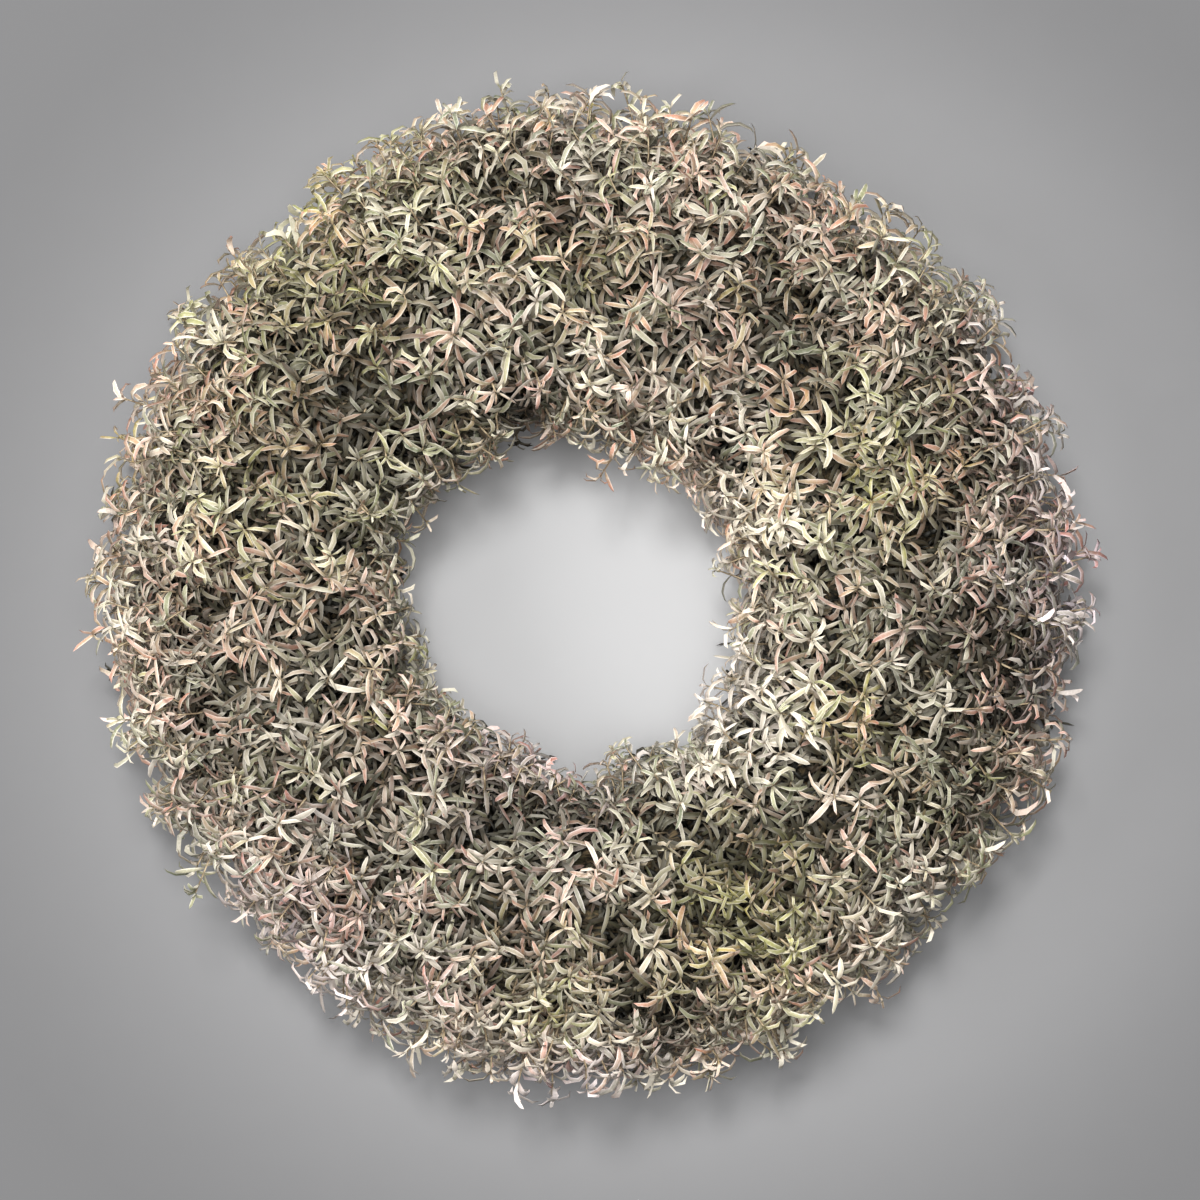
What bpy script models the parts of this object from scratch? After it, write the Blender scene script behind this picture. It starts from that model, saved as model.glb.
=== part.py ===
"""Thyme wreath, lying on its back: bunches of thyme, bound round a straw ring with one winding of wire.

Metres, +Z up. The wreath's front faces +Z, its top in a room is +Y, and it rests on Z = 0.
Angles round the wreath start at +X. Angles round the foliage start at +Z and grow outwards.
"""

import math
import random

import bmesh
import bpy
from mathutils import Matrix, Vector
from mathutils.bvhtree import BVHTree

MM = 0.001

# The straw ring that carries everything
RING_CENTRE = Vector((-3 * MM, -1.5 * MM, 0))
RING_RADIUS = 129 * MM  # to the middle of the straw
RING_HALF_WIDTH = 20 * MM
RING_MIDDLE_HEIGHT = 22 * MM
RING_BACK_ANGLE = -71  # degrees below level, where the round straw meets its flat back
RING_FACET = 46  # degrees between the corners of the straw's section
RING_STEPS = 48

# The wire: one turn for each bunch
BUNCHES = 24
BUNCH_ANGLE = 2 * math.pi / BUNCHES
WIRE_RADIUS = 0.6 * MM
WIRE_CLEARANCE = 0.5 * MM
BACK_STEP = 0.3  # of the way to the next bunch: what the wire goes on each side of the flat back

# Foliage: how far each bunch's leaf tips reach from the wreath's centre, outwards and into the hole
REACH_OUT = [201, 199, 198, 199, 191, 198, 200, 204, 198, 197, 199, 195,
             199, 200, 193, 187, 192, 197, 199, 198, 193, 190, 198, 204]
REACH_IN = [48, 61, 53, 53, 56, 55, 62, 62, 69, 68, 73, 79,
            75, 65, 69, 68, 60, 63, 72, 60, 73, 68, 62, 61]
LEAF_LAYER = 17 * MM  # from a bunch's core to its leaf tips
CORE_RISE = 36 * MM  # of the core above the middle of the foliage
CORE_PINCH = 5 * MM  # how much lower the core is beside the wire than in the bunch's middle
FOLIAGE_MIDDLE = 39 * MM  # height of the middle of the foliage
FOOT_SHARE = 0.84  # of the core's width, at the surface that it rests on
LOWEST_ROW = 140  # degrees round the foliage, where the core's sides come down to the surface
CORE_ROWS = (-LOWEST_ROW, -90, -55, -20, 20, 55, 90, LOWEST_ROW)
SEAT_GAP = 0.7 * MM  # between the straw's facets and a bunch's core
BUNCH_GAP = 2.2 * MM  # between the cores of two bunches, where the wire lies

# One sprig: a stem that ends in a star of leaves, which fold up where something is in their way
SPRIG_ROWS_EVEN = (-116, -88, -61, -34, -7, 20, 47, 76, 106)  # degrees round the foliage
SPRIG_ROWS_ODD = (-102, -74, -47, -20, 7, 34, 62, 92, 120)
SPRIG_SHARE = 0.21  # of the bunch, from its middle to its sprigs on either side
SHARE_SWING = 0.05
NEAREST_SHARE = 0.02  # nearer to the middle than this, a sprig that doesn't fit is left off
MOVE_BACK = -0.75  # of its share: where a sprig that doesn't fit is tried next
LEAN_SWING = 0.2  # how far a stem leans along the ring, as a share of its length
DROP_SWING = 0.15  # the same, down the side of the foliage
STEM_RADIUS = 2.0 * MM
STEM_SINK = 3 * MM
STEM_LENGTH = 4.5 * MM
STAR_LEAVES = 6
STAR_RISES = (24, 50)  # degrees from the star's plane, by turns
RISE_SWING = 7  # degrees
FOLD_STEP = 5  # degrees that a leaf folds up at a time
STEEPEST = 58  # degrees, beyond which a leaf is shortened instead
SHORTENING = 0.88
STAR_TOP = 2.4 * MM
NOTCH_RADIUS = 3.4 * MM  # where two leaves of a star part
LEAF_LENGTH = 23 * MM
LENGTH_SWING = (0.86, 1.08)
LEAF_WIDTH = 8.4 * MM
WIDEST = 0.45  # of the way along a leaf
LEAF_ARCH = 0.2  # how far the tip bends back, as a share of the length
LEAF_ROOM = 0.4 * MM  # kept free round each leaf, and above the surface
SEED = 23


def clear_scene():
    for obj in list(bpy.data.objects):
        bpy.data.objects.remove(obj, do_unlink=True)


def new_material(name, colour, roughness, metallic=0.0):
    material = bpy.data.materials.new(name)
    material.use_nodes = True
    shader = material.node_tree.nodes["Principled BSDF"]
    shader.inputs["Base Color"].default_value = (*colour, 1.0)
    shader.inputs["Roughness"].default_value = roughness
    shader.inputs["Metallic"].default_value = metallic
    return material


def new_object(name, data, collection, material=None):
    obj = bpy.data.objects.new(name, data)
    collection.objects.link(obj)
    if material:
        data.materials.append(material)
    return obj


def mesh_from(bm, name):
    bmesh.ops.recalc_face_normals(bm, faces=bm.faces[:])
    mesh = bpy.data.meshes.new(name)
    bm.to_mesh(mesh)
    bm.free()
    return mesh


def around(angle, out, height):
    """The point at an angle round the wreath, this far out from the ring's centre line."""
    radius = RING_RADIUS + out
    return RING_CENTRE + Vector((radius * math.cos(angle), radius * math.sin(angle), height))


def ring_section(offset):
    """Corners (out from the ring's centre line, height) of the straw's section, grown by offset."""
    grown = RING_HALF_WIDTH + offset / math.cos(math.radians(RING_FACET / 2))
    back = RING_MIDDLE_HEIGHT + RING_HALF_WIDTH * math.sin(math.radians(RING_BACK_ANGLE)) - offset
    corners = []
    for degrees in range(180 - RING_BACK_ANGLE, RING_BACK_ANGLE - 1, -RING_FACET):
        out = grown * math.cos(math.radians(degrees))
        height = RING_MIDDLE_HEIGHT + grown * math.sin(math.radians(degrees))
        corners.append((out, max(height, back)))
    return corners


def straw_ring(collection, material):
    """The straw's flat-backed section, turned round the wreath's axis."""
    mesh = bpy.data.meshes.new("straw_ring")
    points = [(RING_RADIUS + out, 0, height) for out, height in ring_section(0)]
    edges = [(i, (i + 1) % len(points)) for i in range(len(points))]
    mesh.from_pydata(points, edges, [])
    ring = new_object("straw_ring", mesh, collection, material)
    ring.location = RING_CENTRE
    turn = ring.modifiers.new("turn", "SCREW")
    turn.steps = turn.render_steps = RING_STEPS
    turn.use_merge_vertices = True
    turn.merge_threshold = 0.0001
    return ring


def binding_wire(collection, material):
    """One closed winding, between two bunches at the front, that moves on to the next gap at the back."""
    section = ring_section(WIRE_RADIUS + WIRE_CLEARANCE)
    moved_on = [0.0] * len(section)
    moved_on[0] = -BACK_STEP
    moved_on[-1] = BACK_STEP
    path = []
    for turn in range(BUNCHES):
        for (out, height), moved in zip(section, moved_on):
            path.append(around(BUNCH_ANGLE * (turn + 0.5 + moved), out, height))
    curve = bpy.data.curves.new("binding_wire", "CURVE")
    curve.dimensions = "3D"
    curve.bevel_depth = WIRE_RADIUS
    curve.bevel_resolution = 0
    spline = curve.splines.new("POLY")
    spline.points.add(len(path) - 1)
    for point, place in zip(spline.points, path):
        point.co = (*place, 1)
    spline.use_cyclic_u = True
    return new_object("binding_wire", curve, collection, material)


def core_section(index, row, share):
    """A core's corner (out, height): row in degrees, share from -0.5 to 0.5 along the bunch."""
    reach = (REACH_IN if row < 0 else REACH_OUT)[index] * MM - RING_RADIUS
    pinch = CORE_PINCH * 2 * abs(share)
    wide = reach - math.copysign(LEAF_LAYER + pinch, reach)
    if abs(row) <= 90:
        out = wide * math.sin(math.radians(abs(row)))
        height = FOLIAGE_MIDDLE + (CORE_RISE - pinch) * math.cos(math.radians(row))
    else:
        down = (abs(row) - 90) / (LOWEST_ROW - 90)
        out = wide * (1 + (FOOT_SHARE - 1) * down)
        height = FOLIAGE_MIDDLE * (1 - down)
    return out, height


def core_point(index, row, share):
    return around(BUNCH_ANGLE * (index + share), *core_section(index, row, share))


def bunch_core(name, index, collection, material):
    """A saddle over the straw with two flat feet, carried along the ring in two straight runs."""
    side = RING_HALF_WIDTH + SEAT_GAP
    top = RING_MIDDLE_HEIGHT + side
    shoulder = side * math.tan(math.radians(22.5))
    tunnel = [(side, 0), (side, RING_MIDDLE_HEIGHT + shoulder), (shoulder, top),
              (-shoulder, top), (-side, RING_MIDDLE_HEIGHT + shoulder), (-side, 0)]
    half = 0.5 - BUNCH_GAP / 2 / RING_RADIUS / BUNCH_ANGLE
    bm = bmesh.new()
    rings = []
    for share in (-half, 0, half):
        section = [core_section(index, row, share) for row in CORE_ROWS] + tunnel
        angle = BUNCH_ANGLE * (index + share)
        rings.append([bm.verts.new(around(angle, out, height)) for out, height in section])
    count = len(rings[0])
    for near, far in zip(rings, rings[1:]):
        for i in range(count):
            j = (i + 1) % count
            bm.faces.new((near[i], near[j], far[j], far[i]))
    bm.faces.new(rings[0])
    bm.faces.new(rings[-1])
    bmesh.ops.triangulate(bm, faces=bm.faces[:])
    return new_object(name, mesh_from(bm, name), collection, material)


def leaf_points(leaf, room=0.0):
    """Left, tip and right of one leaf, from the middle of its star."""
    azimuth, rise, length = leaf
    outward = Vector((math.cos(azimuth), math.sin(azimuth), 0))
    ahead = outward * math.cos(rise) + Vector((0, 0, math.sin(rise)))
    beside = Vector((-outward.y, outward.x, 0)) * (LEAF_WIDTH / 2 + room)
    back = outward * math.sin(rise) - Vector((0, 0, math.cos(rise)))
    widest = outward * NOTCH_RADIUS + ahead * length * WIDEST
    tip = outward * NOTCH_RADIUS + ahead * (length + room) + back * length * LEAF_ARCH
    return widest - beside, tip, widest + beside


def star_mesh(leaves):
    """A stem along +Z up to a star of leaves: one closed skin from the star's top to the stem's foot."""
    rim = []
    for leaf in leaves:
        notch = leaf[0] - math.pi / STAR_LEAVES
        rim.append(Vector((NOTCH_RADIUS * math.cos(notch), NOTCH_RADIUS * math.sin(notch), 0)))
        rim += leaf_points(leaf)
    bm = bmesh.new()
    top = bm.verts.new((0, 0, STAR_TOP))
    rim = [bm.verts.new(point) for point in rim]
    for first, second in zip(rim, rim[1:] + rim[:1]):
        bm.faces.new((top, first, second))
    loops = [[bm.edges.get((first, second)) for first, second in zip(rim, rim[1:] + rim[:1])]]
    for height in (-0.6 * STEM_RADIUS, -STEM_LENGTH - STEM_SINK):
        turn = Matrix.Translation((0, 0, height)) @ Matrix.Rotation(leaves[0][0], 4, "Z")
        circle = bmesh.ops.create_circle(bm, segments=3, radius=STEM_RADIUS, matrix=turn)["verts"]
        loops.append([bm.edges.get(pair) for pair in zip(circle, circle[1:] + circle[:1])])
    for upper, lower in zip(loops, loops[1:]):
        bmesh.ops.bridge_loops(bm, edges=upper + lower)
    bm.faces.new(circle)
    return mesh_from(bm, "star")


def blade_tree(leaf, place, start, room):
    """One leaf by itself, from this share of its length on, with room round it."""
    left, tip, right = leaf_points(leaf, room)
    root = Vector((math.cos(leaf[0]), math.sin(leaf[0]), 0)) * NOTCH_RADIUS
    middle = (left + right) / 2
    root = root.lerp(middle, start)
    above = Vector((0, 0, STAR_TOP / 2 + room))
    corners = [place @ corner for corner in (left, tip, right, root + above, root - above)]
    faces = [(0, 1, 3), (1, 2, 3), (2, 0, 3), (1, 0, 4), (2, 1, 4), (0, 2, 4)]
    return BVHTree.FromPolygons(corners, faces), min(corner.z for corner in corners)


def standing(place, ahead, up):
    """A matrix that puts +Z along ahead, with +Y as near to up as it can be."""
    z = ahead.normalized()
    x = up.cross(z).normalized()
    y = z.cross(x)
    return Matrix.Translation(place) @ Matrix((x, y, z)).transposed().to_4x4()


def tree_of(mesh, place=Matrix()):
    corners = [place @ vertex.co for vertex in mesh.vertices]
    return BVHTree.FromPolygons(corners, [tuple(face.vertices) for face in mesh.polygons])


def fits(leaf, place, neighbours, own):
    """Whether a leaf clears the surface, the bunches beside it and the stars of its own bunch."""
    whole, lowest = blade_tree(leaf, place, 0, LEAF_ROOM)
    outer, _ = blade_tree(leaf, place, 0.5, 0)
    if lowest < LEAF_ROOM or any(whole.overlap(tree) for tree in neighbours):
        return False
    return not any(outer.overlap(tree) for tree in own)


def star_leaves(place, draw, neighbours, own):
    """Azimuth, rise and length of each leaf, folded up or shortened until it fits."""
    turn = draw.uniform(0, math.pi)
    leaves = []
    for number in range(STAR_LEAVES):
        azimuth = turn + number * 2 * math.pi / STAR_LEAVES
        rise = math.radians(STAR_RISES[number % 2] + draw.uniform(-RISE_SWING, RISE_SWING))
        length = LEAF_LENGTH * draw.uniform(*LENGTH_SWING)
        while length > LEAF_LENGTH / 4 and not fits((azimuth, rise, length), place, neighbours, own):
            if rise < math.radians(STEEPEST):
                rise += math.radians(FOLD_STEP)
            else:
                length *= SHORTENING
        leaves.append((azimuth, rise, length))
    return leaves


def add_sprig(index, row, share, draw, neighbours, own, folder):
    """A stem and its star, standing out of the core at this row, moved towards its middle until it fits."""
    while abs(share) > NEAREST_SHARE:
        foot = core_point(index, row, share)
        beside = (core_point(index, row, share + 0.01) - foot).normalized()
        down = (core_point(index, row + 2, share) - foot).normalized()
        lean = beside * draw.uniform(-LEAN_SWING, LEAN_SWING)
        drop = down * draw.uniform(-DROP_SWING, DROP_SWING)
        axis = (down.cross(beside) + lean + drop).normalized()
        place = standing(foot + axis * STEM_LENGTH, axis, beside)
        mesh = star_mesh(star_leaves(place, draw, neighbours, own))
        tree = tree_of(mesh, place)
        if not any(tree.overlap(neighbour) for neighbour in neighbours):
            new_object("star", mesh, folder).matrix_world = place
            own.append(tree)
            return
        share *= MOVE_BACK


def join_all(body, folder):
    """Unites an object with a collection's objects, and removes them."""
    union = body.modifiers.new("union", "BOOLEAN")
    union.operation = "UNION"
    union.operand_type = "COLLECTION"
    union.collection = folder
    union.solver = "MANIFOLD"
    bpy.context.view_layer.update()
    graph = bpy.context.evaluated_depsgraph_get()
    joined = bpy.data.meshes.new_from_object(body.evaluated_get(graph))
    body.modifiers.clear()
    body.data = joined
    for obj in list(folder.objects):
        bpy.data.objects.remove(obj, do_unlink=True)
    bpy.data.collections.remove(folder)


def thyme_bunches(collection, material):
    """All the cores first, then each bunch's sprigs, kept clear of the bunches beside it."""
    cores = [
        bunch_core(f"thyme_bunch_{index + 1:02d}", index, collection, material)
        for index in range(BUNCHES)
    ]
    trees = [tree_of(core.data) for core in cores]
    for index, core in enumerate(cores):
        draw = random.Random(SEED + index)
        folder = bpy.data.collections.new(f"{core.name}_sprigs")
        bpy.context.scene.collection.children.link(folder)
        neighbours = [trees[(index + step) % BUNCHES] for step in (-3, -2, -1, 1, 2, 3)]
        own = []
        rows = SPRIG_ROWS_ODD if index % 2 else SPRIG_ROWS_EVEN
        for number, row in enumerate(rows):
            share = SPRIG_SHARE * (1 if number % 2 else -1) + draw.uniform(-SHARE_SWING, SHARE_SWING)
            add_sprig(index, row, share, draw, neighbours, own, folder)
        join_all(core, folder)
        trees[index] = tree_of(core.data)


def main():
    clear_scene()
    wreath = bpy.data.collections.new("thyme_wreath")
    bpy.context.scene.collection.children.link(wreath)
    straw = new_material("straw", (0.42, 0.31, 0.16), 0.85)
    lacquered_wire = new_material("lacquered_wire", (0.03, 0.06, 0.03), 0.4, 0.6)
    thyme = new_material("thyme", (0.30, 0.29, 0.21), 0.75)
    straw_ring(wreath, straw)
    binding_wire(wreath, lacquered_wire)
    thyme_bunches(wreath, thyme)


main()
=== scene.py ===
# Looks of the thyme wreath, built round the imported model.
# The wreath lies on its back, front up. Metres, +Z up, +Y is the wreath's top in the photograph.
# Angles round the wreath start at +X. "Lean" is the angle round the foliage: 0 at the front, 90 at the outer
# side, -90 at the side of the hole, 180 at the back.
import math

import bpy
import numpy as np
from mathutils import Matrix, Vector


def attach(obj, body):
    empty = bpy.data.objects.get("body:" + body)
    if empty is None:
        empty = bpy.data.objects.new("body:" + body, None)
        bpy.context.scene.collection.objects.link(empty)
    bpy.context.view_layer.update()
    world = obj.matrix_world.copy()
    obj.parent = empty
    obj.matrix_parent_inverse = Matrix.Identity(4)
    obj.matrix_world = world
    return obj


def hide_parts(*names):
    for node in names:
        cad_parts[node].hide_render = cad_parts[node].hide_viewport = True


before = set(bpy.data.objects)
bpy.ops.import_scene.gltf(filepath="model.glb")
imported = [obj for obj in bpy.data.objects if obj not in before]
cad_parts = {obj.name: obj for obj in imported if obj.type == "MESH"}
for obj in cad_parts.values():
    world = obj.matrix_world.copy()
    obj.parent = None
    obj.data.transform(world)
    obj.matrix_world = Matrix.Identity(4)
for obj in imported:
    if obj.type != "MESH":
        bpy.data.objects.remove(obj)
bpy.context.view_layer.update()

mm = 0.001
wreath = {
    "middle": (-3.0 * mm, -1.5 * mm),
    "ringRadius": 129 * mm,
    "bunches": 24,
    # reach of the leaf tips from the middle in mm, every 10 degrees from +X, outwards and into the hole
    "reachOut": [196, 187, 192, 196, 187, 189, 182, 194, 191, 192, 201, 195, 191, 189, 192, 191, 191, 191,
                 194, 191, 191, 191, 182, 186, 189, 194, 194, 197, 195, 194, 187, 188, 188, 190, 196, 195],
    "reachIn": [52, 58, 60, 56, 59, 59, 57, 57, 57, 63, 70, 62, 70, 69, 73, 77, 84, 75,
                80, 70, 73, 80, 73, 72, 70, 69, 76, 75, 72, 67, 75, 74, 64, 68, 60, 63],
    "foliageMiddle": 39 * mm,  # height of the foliage's middle
    "foliageTop": 97 * mm,  # height of the leaf tips at the front
    "leafLayer": 28 * mm,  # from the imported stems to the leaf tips, at the front
    "outerLayer": 0.92,  # the same at the outer side, as a share of that
    "innerLayer": 0.7,  # and at the side of the hole
    "footShare": 0.84,  # of the width, where the foliage meets the surface
    "lowestLean": 140,  # degrees round the foliage, where its sides come down to the surface
    "backShare": 0.5,  # of the width, that the level back covers on each side
    "seed": 7,
}
ringMiddle = np.array([*wreath["middle"], 0.0])
bunchAngle = 2 * math.pi / wreath["bunches"]


def meshPiece(name, points, faceGroups, material, smooth=True, attributes=None):
    # points is (n, 3); faceGroups are index arrays with 3 or 4 columns; attributes are (n, 4) per point
    mesh = bpy.data.meshes.new(name)
    corners = np.concatenate([group.ravel() for group in faceGroups])
    sizes = np.concatenate([np.full(len(group), group.shape[1]) for group in faceGroups])
    mesh.vertices.add(len(points))
    mesh.vertices.foreach_set("co", np.ascontiguousarray(points, np.float32).ravel())
    mesh.loops.add(len(corners))
    mesh.loops.foreach_set("vertex_index", corners.astype(np.int32))
    mesh.polygons.add(len(sizes))
    mesh.polygons.foreach_set("loop_start", (np.cumsum(sizes) - sizes).astype(np.int32))
    mesh.polygons.foreach_set("use_smooth", np.full(len(sizes), smooth))
    mesh.update(calc_edges=True)
    for label, values in (attributes or {}).items():
        layer = mesh.color_attributes.new(label, "FLOAT_COLOR", "POINT")
        layer.data.foreach_set("color", np.ascontiguousarray(values, np.float32).ravel())
    mesh.materials.append(material)
    piece = bpy.data.objects.new(name, mesh)
    bpy.context.scene.collection.objects.link(piece)
    return piece


def gridFaces(rows, columns, closedRows=False, closedColumns=False, start=0):
    # quads of a grid of points numbered row by row, each face turning from columns to rows
    r = np.arange(rows if closedRows else rows - 1)[:, None]
    c = np.arange(columns if closedColumns else columns - 1)[None, :]
    nextRow, nextColumn = (r + 1) % rows, (c + 1) % columns
    quads = np.stack([r * columns + c, r * columns + nextColumn,
                      nextRow * columns + nextColumn, nextRow * columns + c], axis=-1)
    return quads.reshape(-1, 4) + start


def unit(vectors):
    return vectors / np.maximum(np.linalg.norm(vectors, axis=-1, keepdims=True), 1e-12)


class Socket:
    # one output socket; + - * / and the mixes below add the nodes for what they say
    def __init__(self, tree, link):
        self.tree = tree
        self.link = link

    def node(self, kind, settings=None, output=0, **values):
        # the settings go first; an input is named, or is the letter i and its number
        made = self.tree.nodes.new(kind)
        for key, value in (settings or {}).items():
            setattr(made, key, value)
        for key, value in values.items():
            socket = made.inputs[int(key[1:]) if key[1:].isdigit() else key.replace("_", " ")]
            if isinstance(value, Socket):
                self.tree.links.new(value.link, socket)
            else:
                socket.default_value = value
        return Socket(self.tree, made.outputs[output])

    def math(self, operation, first, second=0.0, clamp=False):
        return self.node("ShaderNodeMath", {"operation": operation, "use_clamp": clamp}, i0=first, i1=second)

    def __add__(self, other):
        return self.math("ADD", self, other)

    __radd__ = __add__

    def __sub__(self, other):
        return self.math("SUBTRACT", self, other)

    def __rsub__(self, other):
        return self.math("SUBTRACT", other, self)

    def __mul__(self, other):
        return self.math("MULTIPLY", self, other)

    __rmul__ = __mul__

    def __truediv__(self, other):
        return self.math("DIVIDE", self, other)

    def __pow__(self, other):
        return self.math("POWER", self, other)

    def clamped(self):
        return self.math("ADD", self, 0.0, clamp=True)

    def between(self, low, high):
        # 0 below low, 1 above high, smooth in between
        return self.node("ShaderNodeMapRange", {"interpolation_type": "SMOOTHSTEP"},
                         Value=self, From_Min=low, From_Max=high)

    def mixed(self, first, second, blend="MIX"):
        # this value is the share of the second colour
        first, second = [(*c, 1.0) if isinstance(c, tuple) and len(c) == 3 else c for c in (first, second)]
        settings = {"data_type": "RGBA", "blend_type": blend}
        return self.node("ShaderNodeMix", settings, 2, i0=self, i6=first, i7=second)

    def noise(self, place, scale, detail, roughness=0.5):
        return self.node("ShaderNodeTexNoise", Vector=place, Scale=scale, Detail=detail, Roughness=roughness)

    def relief(self, height, strength, distance):
        return self.node("ShaderNodeBump", Height=height, Strength=strength, Distance=distance)

    def part(self, name):
        # the red, green or blue of this colour
        made = self.node("ShaderNodeSeparateColor", i0=self)
        return made.sibling(name)

    def sibling(self, name):
        # another output of the node that this socket is on
        return Socket(self.tree, self.link.node.outputs[name])


def newMaterial(name, roughness=0.7, metallic=0.0):
    # the material, its shader with plain values, and a socket to make nodes with
    material = bpy.data.materials.new(name)
    material.use_nodes = True
    shader = material.node_tree.nodes["Principled BSDF"]
    shader.inputs["Roughness"].default_value = roughness
    shader.inputs["Metallic"].default_value = metallic
    return material, shader, Socket(material.node_tree, None)


def feed(shader, name, socket):
    # the shader's input of that name takes what the socket gives
    socket.tree.links.new(socket.link, shader.inputs[name])


def srgb(red, green, blue):
    # 0-255 screen values to linear
    values = (red, green, blue)
    return tuple(((v / 255 + 0.055) / 1.055) ** 2.4 if v > 10 else v / 255 / 12.92 for v in values)


thymeFinish = {
    "greyGreen": srgb(116, 124, 98),
    "sage": srgb(173, 173, 137),
    "taupe": srgb(222, 208, 190),
    "cream": srgb(251, 243, 228),
    "blush": srgb(212, 134, 114),
    "yellowGreen": srgb(178, 174, 86),
    "bluish": (1.0, 0.96, 1.2, 1.0),  # a leaf's colour is multiplied by it
    # painted shade: the colour that leaves deep in the foliage and each blade's middle are darkened towards
    "paintedShade": srgb(34, 31, 14),
    # brown on the leaves is painted shade at their roots and in the midribs' grooves
    "brown": srgb(96, 80, 62),
    # painted shade: the inner leaves, and the stems' feet deep in the foliage
    "inner": srgb(20, 18, 9),
    "stem": srgb(112, 94, 70),
    "paleStem": srgb(176, 158, 128),
    "cloudScale": 240.0,  # noise in spots of a leaf's size
    "bloomScale": 900.0,  # and in powdery grains
}


def thymeMaterial():
    # leafLook holds pinkness, warmth, paleness and depth shade (painted shade) of the leaf, where warmth 1 is
    # yellow-green and -1 bluish; leafPlace holds how far along the leaf a point lies, how far across, a
    # number of the leaf's own, and its kind: 0 leaf, 0.4 inner leaf, 1 stem.
    # Grey-green turns to sage by the leaf's own number, to taupe by its paleness, to yellow-green by its
    # warmth times 0.6 to 1.1 in clouds, and to blush by its pinkness times (0.35 + 0.5 at the tip + 0.1 at
    # the margins). Cream covers it by bloom * 0.28 + margin * 0.48 + paleness * 0.2 - midrib * 0.16: powdery
    # grains, pale margins that are in part a painted highlight, and less on the midrib, the painted shade of
    # its groove. The painted shade colour covers 0.12 of it between the margins, painted shade over the
    # blade's middle, and then 0.97 of the depth shade to the power 1.2, painted shade deeper in the foliage.
    # Bluish multiplies it by the warmth under 0, and brown covers half of the root and 0.2 of the midrib,
    # painted shade where the leaf meets the stem and in the midrib's groove. Inner leaves have one dark
    # colour, painted shade. Stems run from brown to pale in clouds, and are dark at their foot, painted shade
    # where they go into the foliage.
    # The roughness is 0.55 + bloom / 4, and the relief bloom / 2 + clouds, rounded off to the margins.
    finish = thymeFinish
    material, shader, make = newMaterial("driedThyme", roughness=0.72)
    look = make.node("ShaderNodeAttribute", {"attribute_name": "leafLook"})
    place = make.node("ShaderNodeAttribute", {"attribute_name": "leafPlace"})
    pink, warmth, pale, depthShade = look.part("Red"), look.part("Green"), look.part("Blue"), look.sibling("Alpha")
    along, across, own = place.part("Red"), place.part("Green"), place.part("Blue")
    kind = place.sibling("Alpha")
    coords = make.node("ShaderNodeTexCoord", output=3)
    cloudy = make.noise(coords, finish["cloudScale"], 3.0, 0.6)
    bloom = make.noise(coords, finish["bloomScale"], 4.0, 0.7)
    leaf = own.mixed(finish["greyGreen"], finish["sage"])
    leaf = pale.mixed(leaf, finish["taupe"])
    yellow = (warmth.clamped() * (cloudy.between(0.3, 0.6) * 0.5 + 0.6)).clamped()
    leaf = yellow.mixed(leaf, finish["yellowGreen"])
    margin = across.between(0.55, 0.95)
    blush = ((along.between(0.2, 1.0) * 0.5 + margin * 0.1 + 0.35) * pink).clamped()
    leaf = blush.mixed(leaf, finish["blush"])
    midrib = 1 - across.between(0.0, 0.2)
    # cream: powdery grains, and pale margins that are in part a painted highlight; less on the midrib, the
    # painted shade of its groove
    powderAndHighlight = (bloom.between(0.42, 0.72) * 0.28 + margin * 0.48 + pale * 0.2 - midrib * 0.16).clamped()
    leaf = powderAndHighlight.mixed(leaf, finish["cream"])
    # painted shade over the blade's middle, between its margins
    leaf = ((1 - margin) * 0.12).mixed(leaf, finish["paintedShade"])
    # painted shade that grows deeper in the foliage, by the leaf's depth shade
    leaf = (depthShade ** 1.2 * 0.97).mixed(leaf, finish["paintedShade"])
    leaf = (0 - warmth).clamped().mixed(leaf, finish["bluish"], "MULTIPLY")
    # brown here is painted shade: over the leaf's root, where it meets the stem, and in the midrib's groove
    leaf = ((1 - along.between(0.0, 0.35)) * 0.5 + midrib * 0.2).clamped().mixed(leaf, finish["brown"])
    # inner leaves are one colour of painted shade
    leaf = kind.between(0.1, 0.3).mixed(leaf, finish["inner"])
    stem = cloudy.between(0.35, 0.65).mixed(finish["stem"], finish["paleStem"])
    # painted shade at the stems' feet, where they go into the foliage
    stem = (1 - along.between(0.25, 0.8)).mixed(stem, finish["inner"])
    feed(shader, "Base Color", kind.between(0.6, 0.9).mixed(leaf, stem))
    feed(shader, "Roughness", bloom * 0.25 + 0.55)
    height = bloom * 0.5 + cloudy - across ** 3.0 * 1.6
    feed(shader, "Normal", make.relief(height, 0.5, 0.4 * mm))
    return material


packedFinish = {
    "alongStem": 10.0,  # how often the streaks change along the wreath
    "acrossStem": 620.0,  # and across it
    "leafScale": 220.0,
    # dark is painted shade between the packed stems
    "dark": srgb(24, 19, 10),
    "stem": srgb(98, 82, 56),
    "leaf": srgb(62, 66, 44),
}


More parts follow.
